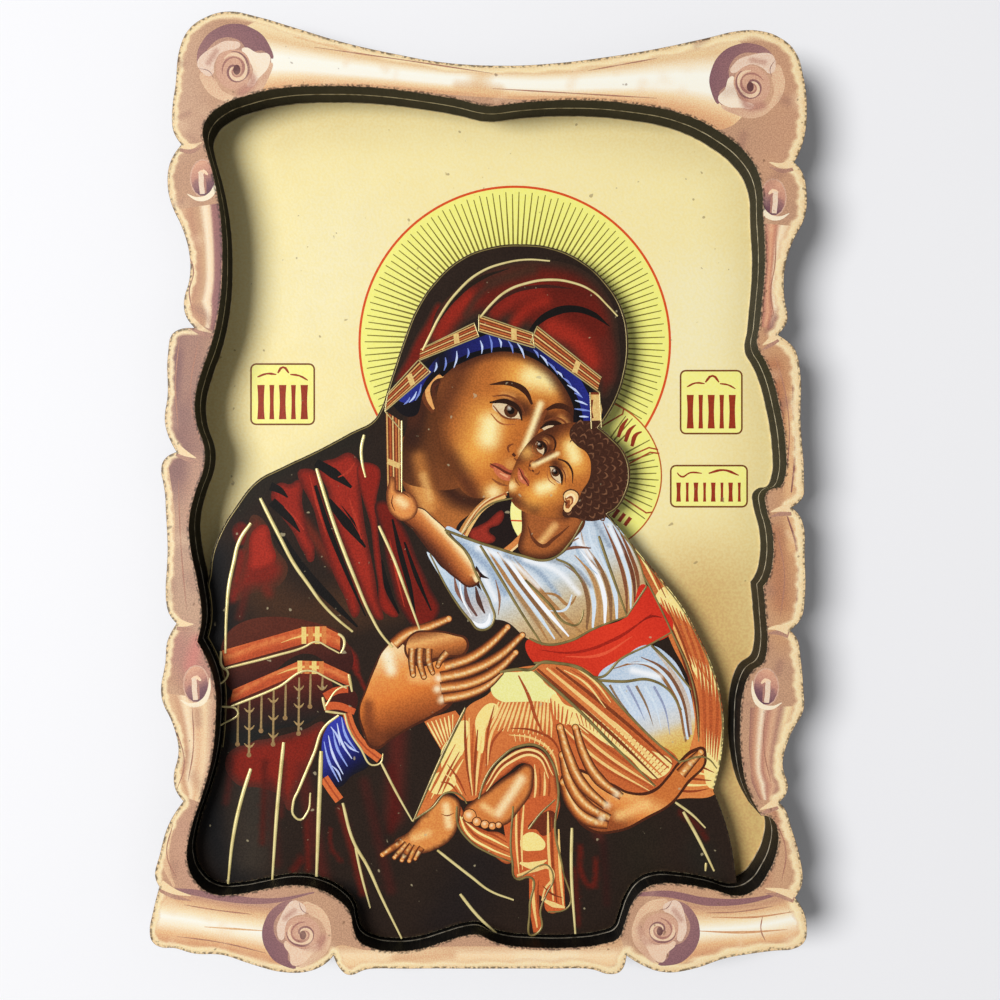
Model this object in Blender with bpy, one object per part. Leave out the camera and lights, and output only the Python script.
"""Icon panel: a layered souvenir icon of laser-cut fibreboard, lying on its back.

X runs across the picture, Y up it and Z out of its face. The origin is under the
middle of the panel, on the back board's underside. Three boards share one wavy
outline: a back board, a spacer ring and a scroll ring. The cut-out figure board
lies on the back board, inside the rings' opening.
"""
import bmesh
import bpy
from mathutils import Vector

PANEL_WIDTH = 0.0955
PANEL_HEIGHT = 0.140
BACK_THICKNESS = 0.003
SPACER_THICKNESS = 0.003
SCROLL_THICKNESS = 0.003
FIGURE_THICKNESS = 0.003
GLUE_LINE = 0.0003
FIGURE_CLEARANCE = 0.0004
STEPS_PER_POINT = 3

# The outlines are drawn on one sheet, in any unit, x to the right and y up. The outer
# edge's reach on the sheet is stretched to the panel's width and height. A True after
# a point marks the sharp tip of a nick or a cusp.
NICK = True
OUTER_EDGE = [
    (-36.6, 139.8), (-40, 138.9), (-42.3, 137.2), (-43.6, 134.5), (-44.2, 129.5),
    (-44.75, 124.5), (-44.5, 122.3), (-43.4, 120.5, NICK),
    (-44.9, 118.2), (-45.4, 115), (-44.8, 111.8), (-43.3, 108.5), (-42.2, 104.5),
    (-42.2, 101), (-43, 97.8), (-42.7, 95.6), (-41.5, 93.9, NICK),
    (-44.5, 93.2), (-45.3, 90.5), (-45.4, 84), (-45.8, 80.5), (-45.2, 78), (-44.1, 75.9, NICK),
    (-46, 74.6), (-45.8, 70), (-45.4, 62), (-45.5, 53.5), (-45, 52.1), (-44.1, 51, NICK),
    (-45.4, 48.5), (-45.7, 45.5), (-46.3, 40.5), (-44.5, 36), (-43.8, 32.5), (-44.5, 28.5),
    (-44.1, 26.6), (-43.1, 25.2, NICK),
    (-45.1, 22.1), (-46.6, 17.2), (-47.2, 14.2), (-46.6, 12.8, NICK),
    (-47.6, 8.8), (-48, 6.4), (-47.6, 4.8), (-46.3, 4), (-44.5, 3.9), (-41.5, 3.1),
    (-37.5, 2.9), (-33, 1.5),
    (-28.5, 0.4), (-24.5, 0.6), (-22, 1.9), (-21.2, 2.8, NICK),
    (-20.3, 1), (-19, 0), (-16.5, 0.75), (-11, 0.9), (0, 0.9), (11, 0.9), (16.5, 0.8),
    (19.3, 0.1), (20.8, 0.6), (21.6, 2.8, NICK),
    (23.5, 1.6), (27, 0.4), (31, 0.8), (36, 2.4), (40, 3.1), (43, 3.5), (46.3, 3.9),
    (47.6, 4.9), (47.9, 6.6), (47.5, 9), (46.2, 11.2, NICK),
    (47.2, 13.2), (46.9, 17), (45.6, 21.5), (44.8, 23.9), (43.9, 25, NICK),
    (45.1, 26.8), (44.4, 30.5), (45.6, 35), (47.4, 38.4), (47.4, 41.5), (47, 46),
    (46.5, 48.7), (45.5, 50, NICK),
    (47, 51.6), (47.6, 54.5), (47.6, 61), (47.4, 65.3), (46.6, 67), (45.7, 67.8, NICK),
    (47.3, 69.3), (47.5, 71.5), (47, 80), (46.8, 88.5), (46, 91), (43.7, 92.9, NICK),
    (45, 94.8), (44.6, 98.5), (44.7, 102.5), (45.8, 106.3), (47.6, 110), (47.9, 113),
    (47.2, 116.5), (46.1, 117.9, NICK),
    (47.4, 121), (47.9, 126), (47.3, 130.8), (46.2, 134), (44, 136), (41, 137), (38, 137),
    (33.5, 136), (26, 134.4), (18, 133.1), (10, 132.2), (3, 131.95), (-5, 132.4),
    (-12, 133.6), (-20, 135.4), (-27, 137.5), (-32.5, 139.1),
]
OPENING_EDGE = [
    (-40.25, 122.3), (-39.6, 124.2), (-37.5, 126.1), (-34, 127.5), (-29, 128.6),
    (-22.5, 128.95), (-15, 128.7), (-8, 127.85), (-3, 127), (0.3, 126.2), (2, 126.05),
    (6, 126.5), (13, 126.9), (22, 126.4), (30, 124.8), (35.5, 122.1), (39.2, 119),
    (41, 115.8), (41.5, 110), (41.75, 103.5), (41.2, 96.5), (40.7, 91.1, NICK),
    (42.4, 87.8), (43.9, 82.5), (44.8, 76.5), (44.7, 72.4), (43.9, 70.8), (42.8, 70.6),
    (41.9, 69.8), (41.9, 68.1), (42.8, 64.5), (42.9, 60), (42.1, 57.2), (41.5, 56.4, NICK),
    (41.9, 52), (42, 47), (41.4, 45.2), (39.9, 44.1), (38.7, 41.5), (38.15, 36), (38.4, 31),
    (39.4, 26.6), (41.2, 23.1, NICK),
    (42.6, 22.8), (43.6, 21), (43.5, 18), (42.2, 14.8), (40.2, 12.3), (37.7, 11.5),
    (34.2, 12.4), (29.5, 13.2), (26, 13.2), (23.8, 12.2), (22.2, 10), (21.3, 7.5),
    (20.4, 5.4), (18.5, 4.6), (14, 4), (8, 4), (4, 4.35), (1.8, 5), (0, 5.85), (-1.8, 5.75),
    (-4.5, 5), (-9, 3.7), (-12.5, 3.45), (-15.5, 3.9), (-17.5, 5), (-18.3, 7), (-18.7, 8.9),
    (-20.3, 10.8), (-23.5, 12.5), (-27, 13.05), (-31, 12.5), (-35.5, 11.7), (-39, 11.85),
    (-41.4, 13.7), (-42.5, 16.5), (-42.1, 20.5), (-40.2, 26.5), (-38.9, 31.5),
    (-38.35, 37), (-38.4, 41.5), (-39.3, 45), (-41, 48.4, NICK),
    (-40.4, 51.5), (-41, 57), (-42, 62), (-42.2, 66), (-41.3, 70), (-40.1, 73.5),
    (-40, 76.5), (-41.1, 80), (-41.35, 83.5), (-40.4, 87.5), (-38.9, 91.8), (-37.8, 97),
    (-37.35, 104), (-37.7, 110.5), (-38.7, 116), (-40, 120.8),
]
# The figures' silhouette, from the mother's shoulder over her hood and the child's
# curls to the child's wrap. It closes far outside the opening, which then cuts it.
FIGURE_EDGE = [
    (-41.6, 52, NICK), (-40.2, 57.3), (-39.7, 60.8), (-38.4, 64.2), (-36.2, 67.8),
    (-33, 71.7), (-29.5, 73.6), (-24, 76.2), (-18.5, 79.1), (-15.8, 80.5), (-14.6, 82.2),
    (-13.2, 86.3), (-11, 92.8), (-9.3, 97), (-6.5, 101.2), (-2.5, 104.7), (2, 106.4),
    (6.5, 106.8), (11, 106.3), (15.5, 104.3), (19, 101.2), (21.5, 97.2), (22.4, 92.5),
    (21.9, 87.5), (20.3, 83), (18.15, 79.6, NICK),
    (19.7, 78.3), (21.9, 75.8), (22.7, 72.5), (21.9, 69.3), (20.6, 67.4), (19.5, 66.7, NICK),
    (22.8, 62.5), (26.6, 58), (30.4, 53.2), (33, 48.5), (35.2, 43.5), (36.5, 38),
    (36.6, 33), (35.9, 28.6), (35.1, 25.7, NICK),
    (36.6, 22), (37.7, 18), (38.3, 14.4), (38.8, 10, NICK), (36, -5, NICK), (-46, -5, NICK),
    (-52, 30, NICK),
]


def to_panel(point):
    """Turn a point of the sheet into metres about the middle of the panel."""
    xs = [drawn[0] for drawn in OUTER_EDGE]
    ys = [drawn[1] for drawn in OUTER_EDGE]
    across = (point[0] - (min(xs) + max(xs)) / 2) / (max(xs) - min(xs))
    up = (point[1] - (min(ys) + max(ys)) / 2) / (max(ys) - min(ys))
    return Vector((across * PANEL_WIDTH, up * PANEL_HEIGHT, 0))


def board(name, edges, bottom, thickness, collection, offset=0.0):
    """A flat board cut along closed edges; an edge inside another is an opening."""
    curve = bpy.data.curves.new(name, "CURVE")
    curve.dimensions = "2D"
    curve.fill_mode = "BOTH"
    curve.extrude = thickness / 2
    curve.offset = offset
    curve.resolution_u = STEPS_PER_POINT
    for edge in edges:
        spline = curve.splines.new("BEZIER")
        spline.bezier_points.add(len(edge) - 1)
        spline.use_cyclic_u = True
        for knot, point in zip(spline.bezier_points, edge):
            knot.co = to_panel(point)
            kind = "VECTOR" if NICK in point[2:] else "AUTO"
            knot.handle_left_type = knot.handle_right_type = kind
    blank = bpy.data.objects.new(name, curve)
    blank.location.z = bottom + thickness / 2
    collection.objects.link(blank)
    return blank


def as_mesh(blank):
    """Replace a curve board by a closed mesh that can be cut and can cut."""
    bpy.context.view_layer.update()
    name, where, home = blank.name, blank.matrix_world.copy(), blank.users_collection[0]
    evaluated = blank.evaluated_get(bpy.context.evaluated_depsgraph_get())
    mesh = bpy.data.meshes.new_from_object(evaluated)
    bpy.data.objects.remove(blank)
    shell = bmesh.new()
    shell.from_mesh(mesh)
    bmesh.ops.remove_doubles(shell, verts=shell.verts, dist=1e-6)
    bmesh.ops.recalc_face_normals(shell, faces=shell.faces)
    shell.to_mesh(mesh)
    shell.free()
    solid = bpy.data.objects.new(name, mesh)
    solid.matrix_world = where
    home.objects.link(solid)
    return solid


def finish(solid, name, colour, roughness, metallic=0.0):
    """Give a board its own material."""
    material = bpy.data.materials.new(name)
    material.use_nodes = True
    shader = material.node_tree.nodes["Principled BSDF"]
    shader.inputs["Base Color"].default_value = (*colour, 1)
    shader.inputs["Roughness"].default_value = roughness
    shader.inputs["Metallic"].default_value = metallic
    solid.data.materials.clear()
    solid.data.materials.append(material)


for left_over in list(bpy.data.objects):
    bpy.data.objects.remove(left_over)
panel = bpy.data.collections.new("icon_panel")
cutters = bpy.data.collections.new("cutters")
bpy.context.scene.collection.children.link(panel)
bpy.context.scene.collection.children.link(cutters)

# The back board: a full sheet, its face printed in gold.
back_board = board("back_board", [OUTER_EDGE], 0.0, BACK_THICKNESS, panel)
finish(back_board, "gold_print", (0.79, 0.63, 0.32), 0.35, 0.3)

# The spacer ring: plain board, charred by the laser where its wall shows.
spacer_bottom = BACK_THICKNESS + GLUE_LINE
ring = [OUTER_EDGE, OPENING_EDGE]
spacer_frame = board("spacer_frame", ring, spacer_bottom, SPACER_THICKNESS, panel)
finish(spacer_frame, "charred_board", (0.05, 0.035, 0.025), 0.8)

# The scroll ring: the top board, printed as rolled parchment.
scroll_bottom = spacer_bottom + SPACER_THICKNESS + GLUE_LINE
scroll_frame = board("scroll_frame", ring, scroll_bottom, SCROLL_THICKNESS, panel)
finish(scroll_frame, "parchment_print", (0.60, 0.37, 0.27), 0.4)

# The figure board: the two figures' silhouette, cut back to lie in the opening with
# an even clearance all round.
figure_panel = as_mesh(board("figure_panel", [FIGURE_EDGE], spacer_bottom, FIGURE_THICKNESS, panel))
seat = as_mesh(board("figure_seat", [OPENING_EDGE], spacer_bottom - FIGURE_THICKNESS,
                     FIGURE_THICKNESS * 3, cutters, offset=-FIGURE_CLEARANCE))
seat.hide_render = True
seat.display_type = "WIRE"
cut = figure_panel.modifiers.new("lies in the opening", "BOOLEAN")
cut.operation = "INTERSECT"
cut.solver = "EXACT"
cut.object = seat
finish(figure_panel, "figure_print", (0.17, 0.05, 0.03), 0.4)
